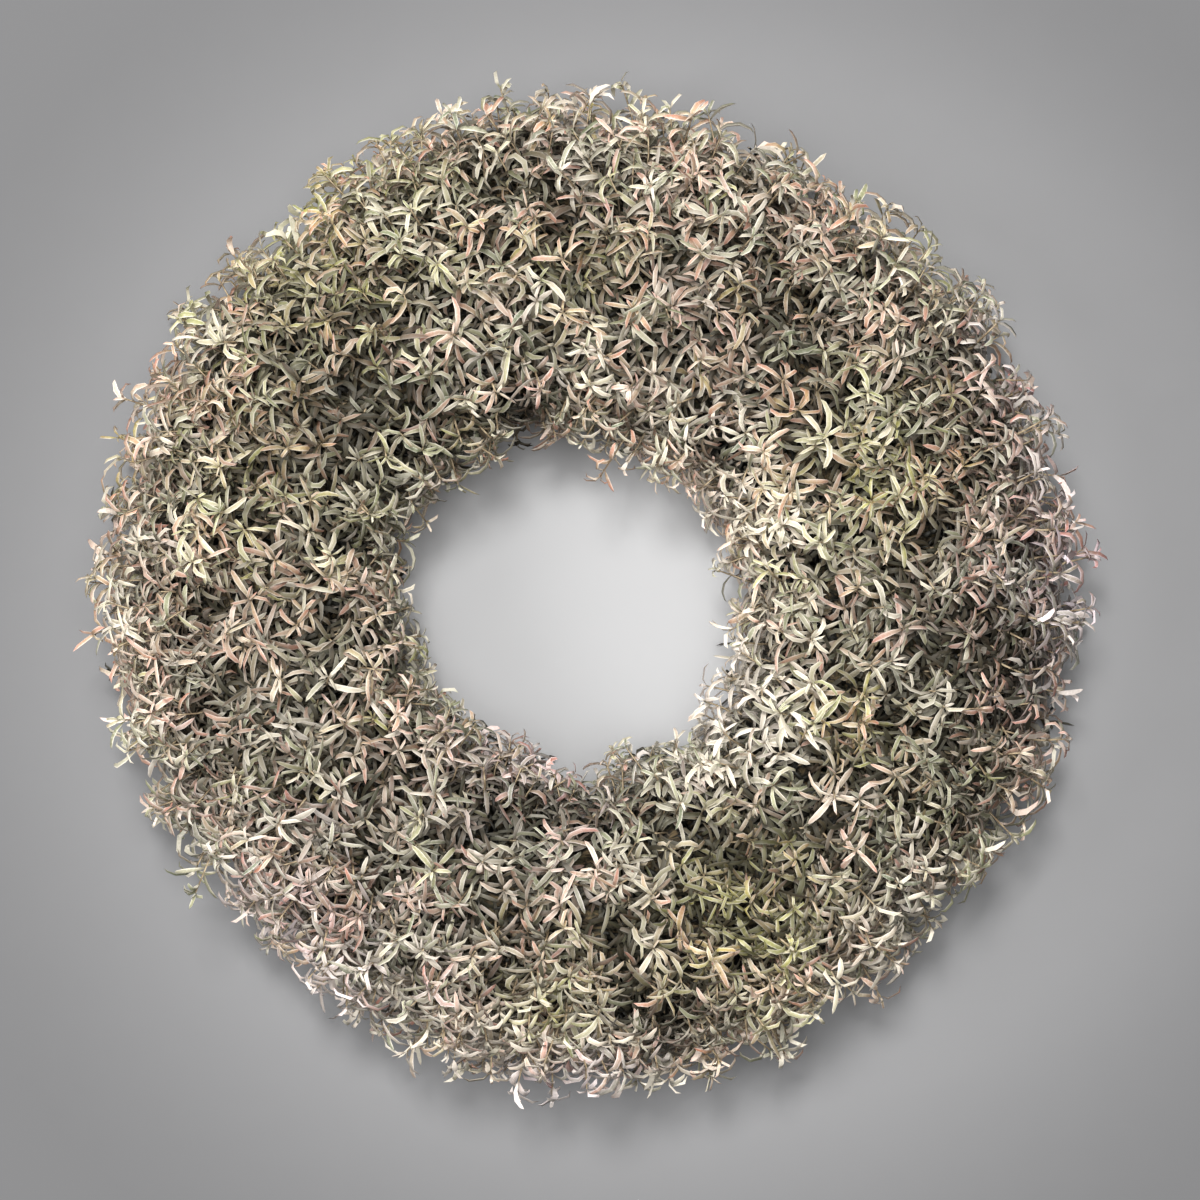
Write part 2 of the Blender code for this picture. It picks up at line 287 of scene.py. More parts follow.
def packedMaterial():
    # the stems and inner leaves that are packed in each bunch: streaks along the wreath, from noise in which
    # a point stands at its bearing's cosine and sine times alongStem and its distance and height times
    # acrossStem; dark, the painted shade between the packed stems, turns to stem by the streaks, and to leaf
    # by 0.7 of a second noise. The relief is streaks + leaves / 2.
    finish = packedFinish
    material, shader, make = newMaterial("packedStems", roughness=0.9)
    coords = make.node("ShaderNodeTexCoord", output=3)
    x, y, z = coords.part("Red") - ringMiddle[0], coords.part("Green") - ringMiddle[1], coords.part("Blue")
    far = (x * x + y * y) ** 0.5
    place = make.node("ShaderNodeCombineXYZ", X=x / far * finish["alongStem"],
                      Y=y / far * finish["alongStem"], Z=far * finish["acrossStem"])
    stems = make.node("ShaderNodeTexNoise", {"noise_dimensions": "4D"}, Vector=place,
                      W=z * finish["acrossStem"], Scale=1.0, Detail=3.0, Roughness=0.6)
    leaves = make.noise(coords, finish["leafScale"], 4.0, 0.7)
    tone = stems.between(0.4, 0.66).mixed(finish["dark"], finish["stem"])
    tone = (leaves.between(0.5, 0.66) * 0.7).mixed(tone, finish["leaf"])
    feed(shader, "Base Color", tone)
    feed(shader, "Normal", make.relief(stems + leaves * 0.5, 0.9, 1.5 * mm))
    return material


strawFinish = {
    "brown": srgb(156, 124, 74),
    "pale": srgb(216, 188, 128),
    "old": srgb(122, 96, 60),
    "fibre": srgb(232, 212, 162),
    # painted shade in the gaps between straws
    "gap": srgb(52, 38, 22),
    "fibreScale": 420.0,
    "oldScale": 28.0,
}


def strawMaterial():
    # strandLook holds each straw's own number and how far a point lies from the straw's middle. Brown turns
    # to pale by that number, to old in 0.6 of large patches and to the fibre's colour in 0.45 of fine ones;
    # between two straws 0.75 of the cubed distance is dark, painted shade in the gaps. The fine noise is the
    # relief, and makes it rough.
    finish = strawFinish
    material, shader, make = newMaterial("dryStraw", roughness=0.6)
    look = make.node("ShaderNodeAttribute", {"attribute_name": "strandLook"})
    own, across = look.part("Red"), look.part("Green")
    coords = make.node("ShaderNodeTexCoord", output=3)
    fibre = make.noise(coords, finish["fibreScale"], 5.0, 0.7)
    old = make.noise(coords, finish["oldScale"], 3.0)
    tone = own.mixed(finish["brown"], finish["pale"])
    tone = (old.between(0.5, 0.75) * 0.6).mixed(tone, finish["old"])
    tone = (fibre.between(0.5, 0.8) * 0.45).mixed(tone, finish["fibre"])
    # painted shade between two straws
    tone = (across ** 3.0 * 0.75).mixed(tone, finish["gap"])
    feed(shader, "Base Color", tone)
    feed(shader, "Roughness", fibre * 0.3 + 0.42)
    feed(shader, "Normal", make.relief(fibre, 0.3, 0.6 * mm))
    return material


wireFinish = {"lacquer": srgb(34, 66, 40), "bare": srgb(150, 148, 142), "wearScale": 190.0}


def wireMaterial():
    # green lacquer, and bare steel where the noise is high: rougher by 0.15 and more metallic by 0.7 there
    material, shader, make = newMaterial("lacqueredWire", roughness=0.38, metallic=0.2)
    coords = make.node("ShaderNodeTexCoord", output=3)
    wear = make.noise(coords, wireFinish["wearScale"], 4.0).between(0.62, 0.7)
    feed(shader, "Base Color", wear.mixed(wireFinish["lacquer"], wireFinish["bare"]))
    feed(shader, "Metallic", wear * 0.7 + 0.2)
    feed(shader, "Roughness", wear * 0.15 + 0.34)
    return material


def reach(label, angles):
    # the listed reaches joined by straight lines round the wreath, in metres
    listed = wreath[label]
    steps = np.linspace(0, 2 * math.pi, len(listed) + 1)
    return np.interp(np.mod(angles, 2 * math.pi), steps, np.array(listed + listed[:1])) * mm


def rising(values, first, width):
    # 0 up to the first value, 1 from that width beyond it, and straight in between
    return np.clip((values - first) / width, 0, 1)


def roundMiddle(angles, radius, height):
    # points at these angles and distances round the wreath's middle
    x, y = ringMiddle[0] + radius * np.cos(angles), ringMiddle[1] + radius * np.sin(angles)
    return np.stack(np.broadcast_arrays(x, y, height), axis=-1)


def foliage(angles, leans, inset):
    # a point this far below the leaf tips: half an ellipse over the front, its width from the reach on that
    # side, then sides that come down to the surface at footShare of the width, and a level back from there
    outer = reach("reachOut", angles) - wreath["ringRadius"] - inset * wreath["outerLayer"]
    inner = wreath["ringRadius"] - reach("reachIn", angles) - inset * wreath["innerLayer"]
    wide = np.where(leans < 0, -inner, outer)
    side = np.abs(leans)
    lowest = wreath["lowestLean"]
    rise = wreath["foliageTop"] - wreath["foliageMiddle"] - inset
    down = rising(side, math.pi / 2, math.radians(lowest - 90))
    under = rising(side, math.radians(lowest), math.radians(180 - lowest))
    front = side <= math.pi / 2
    narrower = (1 + (wreath["footShare"] - 1) * down) * (1 - wreath["backShare"] * under)
    out = np.where(front, wide * np.sin(side), wide * narrower)
    height = wreath["foliageMiddle"] + np.where(front, rise * np.cos(side), -wreath["foliageMiddle"] * down)
    return roundMiddle(angles, wreath["ringRadius"] + out, height)


def foliageFrame(angles, leans, inset):
    # the point, and there the way out of the foliage, the way round the wreath and the way down the side
    turn, step = 0.004, 0.03  # radians to the next points, round the wreath and down the side
    place = foliage(angles, leans, inset)
    aroundWay = unit(foliage(angles + turn, leans, inset) - place)
    downWay = unit(foliage(angles, leans + step, inset) - foliage(angles, leans - step, inset))
    return place, unit(np.cross(downWay, aroundWay)), aroundWay, downWay


swells = {"waves": 7, "shortest": 38 * mm, "longest": 90 * mm, "slant": 2.2}


def swell(angles, leans):
    # the foliage's bulges and valleys, about -1 to 1: cosines of mixed lengths and directions over it
    draw = np.random.default_rng(wreath["seed"])
    lengths = draw.uniform(swells["shortest"], swells["longest"], swells["waves"])
    roundTurns = np.round(2 * math.pi * wreath["ringRadius"] / lengths)
    downTurns = draw.uniform(-swells["slant"], swells["slant"], swells["waves"])
    phase = draw.uniform(0, 2 * math.pi, swells["waves"])
    waves = np.cos(angles[..., None] * roundTurns + leans[..., None] * downTurns + phase)
    return waves.sum(-1) / math.sqrt(swells["waves"])


patches = {
    # places on the wreath in mm: x, y, radius, strength; a strength under 0 is the opposite
    # light: pale places, in part painted light, brighter where light falls on the foliage
    "light": [(42, -32, 34, 1.0), (52, 34, 30, 0.9), (8, 72, 20, 0.5), (-205, -5, 55, 0.25),
              (-130, -145, 55, 0.35), (-5, 200, 26, 0.4), (-30, -190, 60, 0.7), (60, 190, 26, 0.4),
              (110, -140, 55, 0.5), (128, -88, 28, -0.35), (-80, 62, 30, -0.4), (150, -10, 26, -0.1),
              (15, -160, 18, -0.5)],
    # hollow: valleys with shorter sprigs, where the leaves are darkened with painted shade
    "hollow": [(151, -32, 20, 1.0), (69, 91, 18, 1.0), (-104, 102, 18, 1.0), (-104, 70, 18, 0.9),
               (132, -82, 18, 0.9), (64, -102, 16, 0.9), (-54, 151, 16, 0.8), (15, -152, 16, 0.8),
               (-25, -86, 16, 0.8), (125, 71, 16, 0.7)],
    "pink": [(-140, 5, 26, 0.7), (-105, -125, 18, 0.8), (60, 125, 55, 0.4), (170, 45, 55, 0.5),
             (-160, 70, 18, 0.6), (-20, 155, 26, 0.4), (40, -65, 55, -0.6), (50, -50, 26, -0.8),
             (-70, 25, 38, -0.6), (145, -120, 26, -0.6), (-75, -180, 26, -0.5), (-115, 125, 26, -0.4),
             (120, 130, 18, -0.6)],
    "warm": [(55, -125, 28, 1.2), (-115, 135, 55, 0.5), (110, 45, 38, 0.6), (-130, 35, 26, 0.6),
             (100, -50, 18, 0.8), (-5, 125, 18, 0.6), (-20, -165, 18, 0.7), (200, 5, 55, -1.0),
             (-125, -155, 55, -0.6), (-25, -60, 38, -0.6), (50, -52, 28, -0.3), (-10, -205, 26, -0.9),
             (170, 95, 38, -0.5)],
}


def patchAt(label, points):
    # the sum of the listed round patches at each point, each fading with the square of the distance
    spots = np.array(patches[label])
    flat = points[..., None, :2] / mm - spots[:, :2]
    return (np.exp(-(flat ** 2).sum(-1) / spots[:, 2] ** 2) * spots[:, 3]).sum(-1)


pressed = {"under": 3 * mm, "lowest": 0.2 * mm}


def pressedFlat(points):
    # heights under this are squeezed, never reaching the surface, as leaves are on a wreath's back
    height = points[..., 2]
    squeezed = pressed["under"] * np.exp(np.minimum(height - pressed["under"], 0) / pressed["under"])
    points[..., 2] = np.where(height < pressed["under"], np.maximum(squeezed, pressed["lowest"]), height)
    return points


spread = {
    "steps": (0.7548777, 0.5698403),  # from one place to the next: shares round the bunch and down its side
    "leans": (-150, 148),  # the first and the last in degrees
    "rows": 200,  # of the table that makes the places even
    "overlap": 1.04,  # how much of the bunch's width they cover
    "sides": (1.2, 0.8),  # beyond this lean in radians, this share of the places
    "behind": (1.85, 0.45),
}


def spreadOver(index, count):
    # angles and leans spread evenly over one bunch by two golden steps, more of them where the wreath is
    # wider or the sprigs are smaller, and fewer at the sides and behind
    number = index * count + np.arange(count)
    roundShare, downShare = (np.mod(0.5 + number * step, 1) for step in spread["steps"])
    table = np.radians(np.linspace(*spread["leans"], spread["rows"]))
    line = foliage(np.full_like(table, index * bunchAngle), table, wreath["leafLayer"])
    radius = np.linalg.norm(line[:, :2] - ringMiddle[:2], axis=1)
    arc = np.linalg.norm(np.gradient(line, axis=0), axis=1)
    small = np.interp(np.degrees(table), leaf["scaleAt"], leaf["scales"])
    kept = np.where(np.abs(table) > spread["sides"][0], spread["sides"][1], 1.0)
    kept = np.where(np.abs(table) > spread["behind"][0], spread["behind"][1], kept)
    weight = np.cumsum(radius * arc / small * kept)
    angles = (index + (roundShare - 0.5) * spread["overlap"]) * bunchAngle
    return angles, np.interp(downShare, weight / weight[-1], table)


packed = {
    "rows": 34,
    "steps": 7,
    "seatGap": 0.8 * mm,
    "bunchGap": 2.2 * mm,
    "rough": 1.6 * mm,
    "pinch": 4 * mm,  # how much lower it is at the bunch's two ends
    "lowest": 0.6 * mm,
    "tunnelPoints": 9,
}


def packedCore(index, draw):
    # the foliage's form set in by the leaf layer and closed below by a tunnel over the straw
    half = bunchAngle / 2 - packed["bunchGap"] / 2 / wreath["ringRadius"]
    angles = index * bunchAngle + np.linspace(-half, half, packed["steps"])
    leans = np.radians(np.linspace(-wreath["lowestLean"], wreath["lowestLean"], packed["rows"]))
    gridAngles, gridLeans = np.meshgrid(angles, leans, indexing="ij")
    place, outward, _, _ = foliageFrame(gridAngles, gridLeans, wreath["leafLayer"])
    rough = draw.normal(0, packed["rough"], gridAngles.shape)
    pinch = packed["pinch"] * np.abs(np.linspace(-1, 1, packed["steps"]))[:, None] ** 2
    shell = place + outward * (rough - pinch)[..., None]
    shell[..., 2] = np.maximum(shell[..., 2], packed["lowest"])

    side = straw["halfWidth"] + packed["seatGap"]
    bends = np.radians(np.linspace(0, 180, packed["tunnelPoints"]))
    outs = np.concatenate([[side], side * np.cos(bends), [-side]])
    lowest = [packed["lowest"]]
    heights = np.concatenate([lowest, straw["middleHeight"] + side * np.sin(bends), lowest])
    radius = wreath["ringRadius"] + outs[None, :]
    tunnel = roundMiddle(angles[:, None], radius, heights)

    rings = np.concatenate([shell, tunnel], axis=1)
    steps, around = rings.shape[:2]
    faces = gridFaces(steps, around, closedColumns=True)
    # each end is a strip between the shell and the tunnel
    first = np.arange(packed["rows"])
    inner = packed["rows"] + np.round(np.linspace(len(outs) - 1, 0, packed["rows"])).astype(int)
    strip = np.stack([first[:-1], first[1:], inner[1:], inner[:-1]], axis=-1)
    cap = np.concatenate([strip[:, [0, 1, 2]], strip[strip[:, 2] != strip[:, 3]][:, [0, 2, 3]]])
    far = cap + (steps - 1) * around
    return rings.reshape(-1, 3), [faces[:, ::-1], cap, far[:, ::-1]]


sprig = {
    "count": 160,  # in each bunch
    "shortest": 8 * mm,
    "longest": 25 * mm,
    "layers": [0.88, 0.46, 0.08],  # tall, middling and short sprigs by turns, from shortest 0 to longest 1
    "swing": 0.22,  # what chance adds to that
    "bySwell": 0.08,  # and what bulges, pale patches and hollows change
    "byLight": 0.08,
    "byHollow": 0.35,
    "largest": 1.12,
    "rimLeans": (55, 25),  # degrees at which a rim begins, and how many more until it is one wholly
    "rimLayers": [0.4, -0.2, -0.1],  # what is added to the layers there, where single sprigs stand out
    "strayShare": 0.04,
    "strayExtra": 9 * mm,
    "strayShares": (0.4, 1),  # of that
    "strayLean": 2,  # radians, beyond which no sprig strays
    "sink": 5 * mm,
    "stemRadius": 0.62 * mm,
    "stemTaper": (1.25, 0.75),  # of that: its radius at the foot, and what it loses up to the tip
    "stemSteps": 4,
    "tilt": 0.6,  # how far a stem leans along the surface, against 1 straight out of it
    "flow": 0.1,
    "outwards": 1.15,  # how far the stems at the front lean away from the hole
    "frontLeans": (-75, 65),  # degrees at which that begins, and how many more until it is whole
    "backLeans": (105, 35),  # and the same for the stems' turn to level
    "backTurn": (0.8, 1.2),  # what they lose there of the way out, and gain of the level way
    "backSteady": 0.6,  # and of their tilt
    "lift": 0.25,  # how far the upper half turns out of the foliage
    "twist": 0.45,
}
# where the leaves of a sprig stand: share of the stem, turn about it and splay from it in degrees, size
leafPlan = [
    (0.36, 90, 62, 1.0), (0.36, 270, 62, 1.0), (0.56, 0, 56, 1.04), (0.56, 180, 56, 1.04),
    (0.74, 90, 50, 1.06), (0.74, 270, 50, 1.06), (0.90, 0, 42, 0.98), (0.90, 180, 42, 0.98),
    (0.98, 90, 32, 0.72), (0.98, 270, 32, 0.72), (1.0, 0, 16, 0.48), (1.0, 180, 16, 0.48),
]
leaf = {
    "length": 14.4 * mm,
    "lengths": (0.72, 1.18),  # the shares of it that chance gives one leaf
    "sprigLengths": (0.85, 1.1),  # and the leaves of one sprig
    "width": 1.9 * mm,
    "widths": (0.8, 1.25),
    "widthPower": 0.8,  # of the plan's size
    "roof": 0.44,  # how far the midrib stands over the edges, as a share of the width
    "bend": 122,  # degrees that a leaf turns from its root to its tip
    "bendSwing": 38,
    "leastBend": 0.02,  # radians
    "bendAside": 42,  # degrees from straight back to the side, the way that it turns
    "placeSwing": 0.02,  # of the stem's length
    "lowestPlace": 0.2,
    "turnSwing": 0.2,  # radians, as are the next two
    "splaySwing": 0.17,
    "rollSwing": 0.32,
    "scaleAt": [-100, -45, 55, 105],  # leans in degrees where the sprigs have these shares of their full size
    "scales": [0.75, 1.0, 1.0, 0.96],
    "rimSlope": 0.6,  # upward share of the way out of the foliage, under which the leaves of the rims begin
    "rimGrowth": (0.1, 0.3),  # how much longer and wider they are, as a share
    "plainPlace": 0.5,  # leaves below this place on the stem,
    "plainSize": 0.8,  # under this size,
    "plainSlope": -0.3,  # or where the foliage faces down more than this, are lower blades
}
# a blade's form: where its sections stand along it, and their widths
upperBlade = {"stations": [0.12, 0.37, 0.63, 0.88], "widths": [0.5, 0.92, 1.0, 0.66]}
lowerBlade = {"stations": [0.3, 0.75], "widths": [0.9, 0.85]}
innerBlade = {
    "stations": [0.5],
    "widths": [1.0],
    "count": 300,  # in each bunch
    "length": 13 * mm,
    "lengths": (0.7, 1.15),
    "width": 3.0 * mm,
    "widthSwing": (0.7, 1.1),
    "tilt": 0.9,
    "bend": (0.5, 0.6),  # radians, and its swing
    "sink": 3 * mm,
    "kind": 0.4,
}


def sprigPaths(index, draw):
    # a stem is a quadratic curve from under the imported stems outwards, tilted by chance, and level behind
    count = sprig["count"]
    layer = np.arange(count) % len(sprig["layers"])
    angles, leans = spreadOver(index, count)
    foot, outward, aroundWay, downWay = foliageFrame(angles, leans, wreath["leafLayer"])
    fromHole = unit(foot * [1, 1, 0] - ringMiddle)

    back = rising(np.abs(leans), *np.radians(sprig["backLeans"]))[:, None]
    lost, gained = sprig["backTurn"]
    out = unit(outward * (1 - lost * back) + fromHole * np.sign(leans)[:, None] * back * gained)
    front = rising(np.degrees(leans), *sprig["frontLeans"]) * (np.abs(leans) < math.pi / 2)
    out = unit(out + fromHole * sprig["outwards"] * front[:, None] * (1 - back))
    bearing = draw.uniform(0, 2 * math.pi, (count, 1))
    tilt = sprig["tilt"] * np.sqrt(draw.uniform(0, 1, (count, 1))) * (1 - sprig["backSteady"] * back)
    axis = unit(out + aroundWay * (sprig["flow"] + tilt * np.cos(bearing)) + downWay * tilt * np.sin(bearing))
    twist = draw.normal(0, sprig["twist"], (count, 2))
    bend = unit(axis + sprig["lift"] * outward + aroundWay * twist[:, :1] + downWay * twist[:, 1:])

    size = np.array(sprig["layers"])[layer] + draw.uniform(0, sprig["swing"], count)
    size = size + sprig["bySwell"] * swell(angles, leans) + sprig["byLight"] * patchAt("light", foot)
    size = np.clip(size - sprig["byHollow"] * patchAt("hollow", foot), 0, sprig["largest"])
    rim = rising(np.degrees(np.abs(leans)), *sprig["rimLeans"])
    size = size + rim * np.array(sprig["rimLayers"])[layer]
    stray = (draw.uniform(0, 1, count) < sprig["strayShare"]) & (np.abs(leans) < sprig["strayLean"])
    scale = np.interp(np.degrees(leans), leaf["scaleAt"], leaf["scales"])
    length = (sprig["shortest"] + (sprig["longest"] - sprig["shortest"]) * size) * scale
    length = length + stray * sprig["strayExtra"] * draw.uniform(*sprig["strayShares"], count)

    start = foot - outward * sprig["sink"]
    middle = start + axis * (sprig["sink"] + length * 0.5)[:, None]
    tip = middle + bend * (length * 0.5)[:, None]
    return start, middle, tip, foot, outward, scale


def onPath(start, middle, tip, share):
    # the quadratic curve's point and direction at each share of its length
    s = share[..., None]
    point = start * (1 - s) ** 2 + middle * 2 * s * (1 - s) + tip * s ** 2
    ahead = unit((middle - start) * (1 - s) + (tip - middle) * s)
    return point, ahead


def stemTubes(start, middle, tip):
    # three-sided tubes along the paths, thinner to the tip, closed at both ends
    steps = sprig["stemSteps"]
    share = np.linspace(0, 1, steps)[None, :]
    shares = np.broadcast_to(share, (len(start), steps))
    point, ahead = onPath(start[:, None], middle[:, None], tip[:, None], shares)
    across = unit(np.cross(ahead, np.array([0.3, 0.5, 0.81])))  # any way that isn't a stem's own
    beside = np.cross(ahead, across)
    turn = np.radians([0, 120, 240])
    widest, lost = sprig["stemTaper"]
    radius = (sprig["stemRadius"] * (widest - lost * share))[..., None, None]
    ring = across[:, :, None] * np.cos(turn)[:, None] + beside[:, :, None] * np.sin(turn)[:, None]
    points = point[:, :, None] + ring * radius
    tube = gridFaces(steps, 3, closedColumns=True)
    first = np.arange(len(start))[:, None, None] * steps * 3
    ends = np.array([[2, 1, 0], [steps * 3 - 3, steps * 3 - 2, steps * 3 - 1]])
    faces = [(tube[None] + first).reshape(-1, 4), (ends[None] + first).reshape(-1, 3)]
    place = np.zeros((len(start), steps, 3, 4))
    place[..., 0] = share[..., None]
    place[..., 3] = 1
    place = place.reshape(-1, 4)
    return pressedFlat(points.reshape(-1, 3)), faces, place * 0, place


def leafBlades(form, root, ahead, up, length, width, bend, aside, look, own, kind):
    # a blade's middle line is an arc of its length that turns by bend away from its back: at share s it
    # stands sin(bend * s) / bend ahead and (1 - cos(bend * s)) / bend off its first way, and its back turns
    # with it; at each station stand the left edge, the midrib and the right edge, between root and tip points
    across = np.cross(up, ahead)
    back = up * np.cos(aside)[:, None] + across * np.sin(aside)[:, None]
    axle = np.cross(back, ahead)
    stations = np.array(form["stations"])
    widths = np.array(form["widths"])
    turned = np.where(np.abs(bend) < leaf["leastBend"], leaf["leastBend"], bend)[:, None, None]

    def middleLine(s):
        s = s[None, :, None]
        return root[:, None] + length[:, None, None] / turned * (
            np.sin(turned * s) * ahead[:, None] - (1 - np.cos(turned * s)) * back[:, None])

    line = middleLine(stations)
    angle = turned * stations[None, :, None]
    slope = np.cos(angle) * ahead[:, None] - np.sin(angle) * back[:, None]
    backNow = np.cos(angle) * back[:, None] + np.sin(angle) * ahead[:, None]
    top = backNow * np.cos(aside)[:, None, None] - (axle * np.sin(aside)[:, None])[:, None]
    sideways = np.cross(top, slope)
    wide = (width[:, None] * widths[None])[..., None]
    roof = line + top * wide * leaf["roof"]
    rings = np.stack([line - sideways * wide / 2, roof, line + sideways * wide / 2], axis=2)
    ends = middleLine(np.array([0.0, 1.0]))
    points = np.concatenate([ends[:, :1], rings.reshape(len(root), -1, 3), ends[:, 1:]], axis=1)
    count = points.shape[1]
    ring = np.arange(3)
    rootFan = np.stack([np.zeros(3, int), 1 + (ring + 1) % 3, 1 + ring], axis=-1)
    last = 1 + 3 * (len(stations) - 1)
    tipFan = np.stack([np.full(3, count - 1), last + ring, last + (ring + 1) % 3], axis=-1)
    first = np.arange(len(root))[:, None, None] * count
    quads = gridFaces(len(stations), 3, closedColumns=True, start=1)
    fans = np.concatenate([rootFan, tipFan])
    faces = [(quads[None] + first).reshape(-1, 4), (fans[None] + first).reshape(-1, 3)]
    place = np.empty((len(root), count, 4))
    # how far along and how far across each point lies: the tip counts as 0.7 across
    place[..., 0] = np.concatenate([[0.0], np.repeat(stations, 3), [1.0]])
    place[..., 1] = np.concatenate([[0.0], np.tile([1.0, 0.0, 1.0], len(stations)), [0.7]])
    place[..., 2] = own[:, None]
    place[..., 3] = kind
    faces = [group for group in faces if len(group)]
    return pressedFlat(points.reshape(-1, 3)), faces, np.repeat(look, count, axis=0), place.reshape(-1, 4)


# a leaf's look follows its sprig's chance, a fixed share, and the patches at its place; share and swing are
# the leaf's own chance, as a factor and as what is added
looks = {
    "pink": {"chance": 1.95, "fixed": -0.68, "patch": 0.8, "share": (0.4, 1.3), "swing": (-0.25, 0.15)},
    "warmth": {"patch": 1.6, "fixed": 0.4, "chance": 0.8, "rareOver": 0.95, "rare": 0.5,
               "sprigSwing": (0.06, 0.14), "share": (0.7, 1.1)},
    "pale": {"chance": 0.6, "fixed": 0.08, "light": 0.5, "hollow": 0.2, "rim": 0.3, "swing": (0.02, 0.26)},
    # the fourth look is painted shade: it grows with how deep in the foliage a leaf stands
    "depthShade": {"fixed": 1.12, "height": 1.3, "hollow": 0.2, "light": 0.2, "swing": 0.12},
}


def leafLooks(draw, shape, root, tip, foot, outward, atRim):
    # pinkness, warmth, paleness and depth shade of each leaf, and a number of its own: a warmth under 0 is
    # bluish, a few sprigs are yellow by chance, and the depth shade, painted shade, grows with how deep in
    # the foliage the leaf stands
    chance = draw.uniform(0, 1, (len(tip), 4))
    light, hollow, warm = patchAt("light", tip), patchAt("hollow", tip), patchAt("warm", tip)
    by = looks["pink"]
    pink = by["chance"] * chance[:, 0] + by["fixed"] + by["patch"] * patchAt("pink", tip)
    by = looks["warmth"]
    warmth = by["patch"] * np.maximum(warm, 0) * (by["fixed"] + by["chance"] * chance[:, 2])
    warmth = warmth + np.minimum(warm, 0)
    warmth = warmth + (chance[:, 1] > by["rareOver"]) * by["rare"] + draw.normal(*by["sprigSwing"], len(tip))
    by = looks["pale"]
    # paleness is raised by the light patches, in part painted light, and lowered by the hollow ones, painted
    # shade
    pale = by["chance"] * chance[:, 3] + by["fixed"] + by["light"] * light - by["hollow"] * hollow
    pale = pale - by["rim"] * atRim[:, 0] * (1 - light)
    by = looks["depthShade"]
    above = ((root - foot[:, None]) * outward[:, None]).sum(-1) / wreath["leafLayer"]
    # painted shade: more deep in the foliage and in the hollow patches, less in the light ones
    depthShade = by["fixed"] - by["height"] * above + (by["hollow"] * hollow - by["light"] * light)[:, None]
    pink = pink[:, None] * draw.uniform(*looks["pink"]["share"], shape)
    pink = pink + draw.uniform(*looks["pink"]["swing"], shape)
    warmth = warmth[:, None] * draw.uniform(*looks["warmth"]["share"], shape)
    pale = pale[:, None] + draw.normal(*looks["pale"]["swing"], shape)
    depthShade = depthShade + draw.normal(0, looks["depthShade"]["swing"], shape)
    pink, pale, depthShade = (np.clip(values, 0, 1) for values in (pink, pale, depthShade))
    look = np.stack([pink, np.clip(warmth, -1, 1), pale, depthShade], axis=-1)
    return look, draw.uniform(0, 1, shape)


def sprigLeaves(draw, start, middle, tip, foot, outward, scale):
    # leaves in crossed pairs up each stem: turned about it by the plan, splayed from it, and rolled a little
    count = len(start)
    plan = np.array(leafPlan)
    share = plan[None, :, 0] + draw.normal(0, leaf["placeSwing"], (count, len(plan)))
    share = np.clip(share, leaf["lowestPlace"], 1)
    root, stem = onPath(start[:, None], middle[:, None], tip[:, None], share)
    side = unit(np.cross(stem, unit(draw.normal(0, 1, (count, 1, 3)))))
    other = np.cross(stem, side)
    turn = np.radians(plan[None, :, 1]) + draw.uniform(0, 2 * math.pi, (count, 1))
    turn = turn + draw.normal(0, leaf["turnSwing"], share.shape)
    away = side * np.cos(turn)[..., None] + other * np.sin(turn)[..., None]
    splay = np.radians(plan[None, :, 2]) + draw.normal(0, leaf["splaySwing"], share.shape)
    ahead = stem * np.cos(splay)[..., None] + away * np.sin(splay)[..., None]
    up = stem * np.sin(splay)[..., None] - away * np.cos(splay)[..., None]
    roll = draw.normal(0, leaf["rollSwing"], share.shape)[..., None]
    up = up * np.cos(roll) + np.cross(ahead, up) * np.sin(roll)

    length = leaf["length"] * plan[None, :, 3] * draw.uniform(*leaf["lengths"], share.shape)
    length = length * draw.uniform(*leaf["sprigLengths"], (count, 1)) * scale[:, None]
    width = leaf["width"] * plan[None, :, 3] ** leaf["widthPower"]
    width = width * draw.uniform(*leaf["widths"], share.shape) * scale[:, None]
    atRim = np.clip(1 - outward[:, 2:] / leaf["rimSlope"], 0, 1)
    length = length * (1 + leaf["rimGrowth"][0] * atRim)
    width = width * (1 + leaf["rimGrowth"][1] * atRim)
    bend = np.radians(draw.normal(leaf["bend"], leaf["bendSwing"], share.shape))
    aside = np.radians(draw.normal(0, leaf["bendAside"], share.shape))
    look, own = leafLooks(draw, share.shape, root, tip, foot, outward, atRim)

    def blades(form, chosen):
        values = [array[chosen] for array in (root, ahead, up, length, width, bend, aside, look, own)]
        return leafBlades(form, *values, 0)

    plain = (plan[:, 0] < leaf["plainPlace"]) | (plan[:, 3] < leaf["plainSize"])
    low = np.broadcast_to(plain, share.shape) | (outward[:, 2] < leaf["plainSlope"])[:, None]
    return blades(upperBlade, ~low), blades(lowerBlade, low)


def innerLeaves(index, draw):
    # broad leaves, dark with painted shade, that stand on the imported core at any tilt
    form = innerBlade
    count = form["count"]
    angles, leans = spreadOver(index, count)
    foot, outward, aroundWay, downWay = foliageFrame(angles, leans, wreath["leafLayer"] + form["sink"])
    chance = draw.normal(0, 1, (count, 5))
    ahead = unit(outward + aroundWay * chance[:, :1] * form["tilt"] + downWay * chance[:, 1:2] * form["tilt"])
    up = unit(np.cross(ahead, chance[:, 2:]))
    length = form["length"] * draw.uniform(*form["lengths"], count)
    width = form["width"] * draw.uniform(*form["widthSwing"], count)
    bend = draw.normal(*form["bend"], count)
    look = np.tile([0.0, 0.0, 0.0, 1.0], (count, 1))
    own = draw.uniform(0, 1, count)
    return leafBlades(form, foot, ahead, up, length, width, bend, 0 * bend, look, own, form["kind"])


